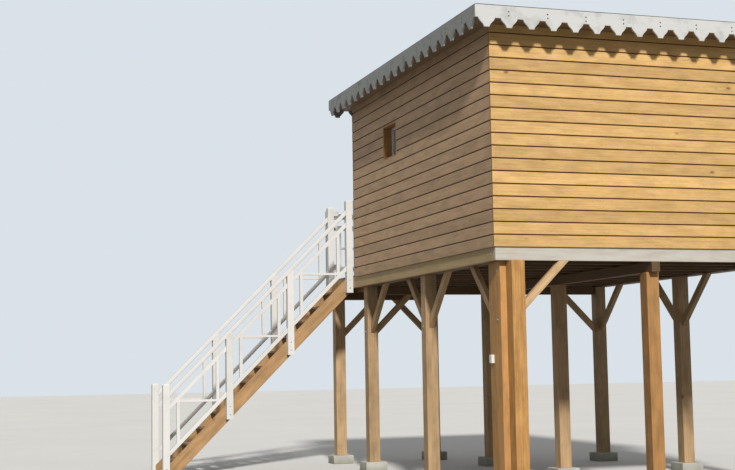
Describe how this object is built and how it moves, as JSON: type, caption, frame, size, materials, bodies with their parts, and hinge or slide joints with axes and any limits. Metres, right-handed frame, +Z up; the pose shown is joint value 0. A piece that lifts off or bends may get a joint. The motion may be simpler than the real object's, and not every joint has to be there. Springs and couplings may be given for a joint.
{
  "type": "tree house",
  "caption": "Raised timber tree house on square posts with knee braces, board cladding, a hipped roof with scalloped eave trim, and an open stair with a stepped railing to a rear landing.",
  "frame": {"origin": "middle of the base of the whole object's bounding box, on the ground", "axes": "+Z up; +X to the right along the front short wall, away from the stair; +Y from the front wall to the landing at the back"},
  "size_m": [6.741, 6.59, 5.4495],
  "materials": {
    "concrete": "rough cast concrete",
    "new_timber": "planed, oiled honey brown",
    "weathered_timber": "weathered grey brown",
    "boards": "stained honey brown",
    "white_paint": "white paint, slightly dirty",
    "glass": "clear",
    "felt": "mineral roofing felt",
    "switch_plastic": "matt white"
  },
  "bodies": {
    "root": {"concrete_pads": "concrete", "posts_left": "new_timber", "posts_middle": "new_timber", "posts_right": "new_timber", "flank_posts": "new_timber", "landing_posts": "new_timber", "braces_along": "new_timber", "braces_across": "new_timber", "rim_sides": "weathered_timber", "rim_ends": "weathered_timber", "bearers": "weathered_timber", "floor_joists": "weathered_timber", "drop_beams": "new_timber", "floor_deck": "boards", "wall_left": "boards", "wall_right": "boards", "wall_front": "boards", "wall_back_left": "boards", "wall_back_right": "boards", "wall_back_over": "boards", "cladding_left": "boards", "cladding_right": "boards", "cladding_front": "boards", "cladding_back": "boards", "window_linings": "new_timber", "window_sashes": "white_paint", "window_panes": "glass", "door_frame": "white_paint", "door_leaf": "white_paint", "rafters": "new_timber", "roof_deck": "felt", "soffit": "boards", "trim_left": "white_paint", "trim_right": "white_paint", "trim_front": "white_paint", "trim_back": "white_paint", "landing_frame": "weathered_timber", "landing_deck": "boards", "landing_rails": "white_paint", "stair_strings": "new_timber", "stair_treads": "new_timber", "newels": "white_paint", "handrails": "white_paint", "stair_panels": "white_paint", "switch_box": "switch_plastic"}
  },
  "joints": []
}
